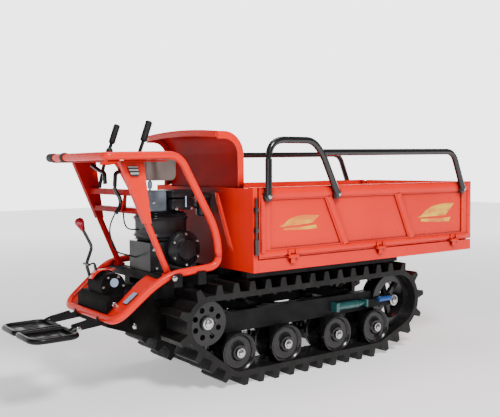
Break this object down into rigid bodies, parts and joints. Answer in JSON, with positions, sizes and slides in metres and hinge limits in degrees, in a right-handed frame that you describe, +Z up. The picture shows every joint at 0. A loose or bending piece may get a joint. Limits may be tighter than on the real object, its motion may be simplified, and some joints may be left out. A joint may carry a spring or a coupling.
{
  "type": "crawler carrier",
  "caption": "Tracked carrier with a drop-side tipping bed, rubber tracks on sprockets, rollers and spoked idlers, and an open walk-behind end with a fold-up step.",
  "frame": {"origin": "bottom centre of the bounding box, on the ground", "axes": "+X along the machine towards the bed's tail, +Y across it, +Z up"},
  "size_m": [2.46, 0.92, 1.1914],
  "materials": {
    "red_paint": "bright orange-red gloss paint on pressed steel",
    "black_paint": "black semi-gloss paint on welded steel",
    "black_tube": "black gloss paint on steel tube",
    "track_rubber": "worn black rubber",
    "wheel_iron": "black painted cast iron, bright at the hubs",
    "bright_steel": "plain machined steel",
    "engine_dark": "dark grey engine castings",
    "tank_paint": "grey-brown painted tank",
    "grip_rubber": "soft ribbed black rubber",
    "knob_red": "glossy red plastic",
    "tensioner_green": "green-blue painted cylinder"
  },
  "bodies": {
    "root": {"air_filter": "engine_dark", "chassis_frame": "black_paint", "console_bars": "red_paint", "console_leg_left": "red_paint", "console_leg_right": "red_paint", "console_panel": "red_paint", "engine_crankcase": "engine_dark", "engine_cylinder": "engine_dark", "fan_housing": "engine_dark", "fender": "red_paint", "fuel_tank": "tank_paint", "gear_case": "black_paint", "gear_knob": "knob_red", "gear_lever": "black_tube", "grip_left": "grip_rubber", "grip_right": "grip_rubber", "guard_tube_left": "red_paint", "guard_tube_right": "red_paint", "idler_left": "wheel_iron", "idler_right": "wheel_iron", "leg_bars": "red_paint", "lever_left": "black_tube", "lever_right": "black_tube", "muffler": "engine_dark", "rollers_left": "wheel_iron", "rollers_right": "wheel_iron", "sprocket_left": "wheel_iron", "sprocket_right": "wheel_iron", "step_bracket": "black_paint", "tensioner_left": "tensioner_green", "tensioner_right": "tensioner_green", "tip_pins": "bright_steel", "track_frame_left": "black_paint", "track_frame_right": "black_paint", "track_left": "track_rubber", "track_right": "track_rubber"},
    "bed": {"bed_floor": "red_paint", "bed_runners": "black_paint", "lift_bracket": "black_paint", "front_wall": "red_paint", "hood": "red_paint", "tail_posts": "red_paint", "board_hinges_right": "red_paint", "board_hinges_left": "red_paint", "latch_right": "black_paint", "latch_left": "black_paint"},
    "board_right": {"side_board_right": "red_paint", "side_rail_right": "black_tube"},
    "board_left": {"side_board_left": "red_paint", "side_rail_left": "black_tube"},
    "gate": {"tailgate": "red_paint"},
    "step": {"foot_step": "black_paint"},
    "lift_cylinder": {"lift_barrel": "black_paint"},
    "lift_piston": {"lift_rod": "bright_steel"}
  },
  "joints": [
    {"name": "bed_tip", "type": "hinge", "parent": "root", "child": "bed", "pos_m": [0.82, 0, 0.5], "axis": [0, 1, 0], "range_deg": [0, 45]},
    {"name": "board_right_fold", "type": "hinge", "parent": "bed", "child": "board_right", "pos_m": [0.48, -0.435, 0.581], "axis": [1, 0, 0], "range_deg": [0, 100]},
    {"name": "board_left_fold", "type": "hinge", "parent": "bed", "child": "board_left", "pos_m": [0.48, 0.435, 0.581], "axis": [-1, 0, 0], "range_deg": [0, 100]},
    {"name": "gate_swing", "type": "hinge", "parent": "bed", "child": "gate", "pos_m": [1.183, 0, 0.872], "axis": [0, -1, 0], "range_deg": [0, 90]},
    {"name": "step_fold", "type": "hinge", "parent": "root", "child": "step", "pos_m": [-1, 0, 0.322], "axis": [0, 1, 0], "range_deg": [0, 90]},
    {"name": "lift_swing", "type": "hinge", "parent": "root", "child": "lift_cylinder", "pos_m": [-0.06, 0, 0.44], "axis": [0, -1, 0], "range_deg": [0, 14.4]},
    {"name": "lift_stroke", "type": "slide", "parent": "lift_cylinder", "child": "lift_piston", "axis": [0.9968, 0, 0.0804], "range_m": [0, 0.1071]}
  ],
  "couplings": [
    {"joint": "lift_swing", "follows": "bed_tip", "ratio": 0.31895},
    {"joint": "lift_stroke", "follows": "bed_tip", "m_per_rad": 0.13574}
  ]
}
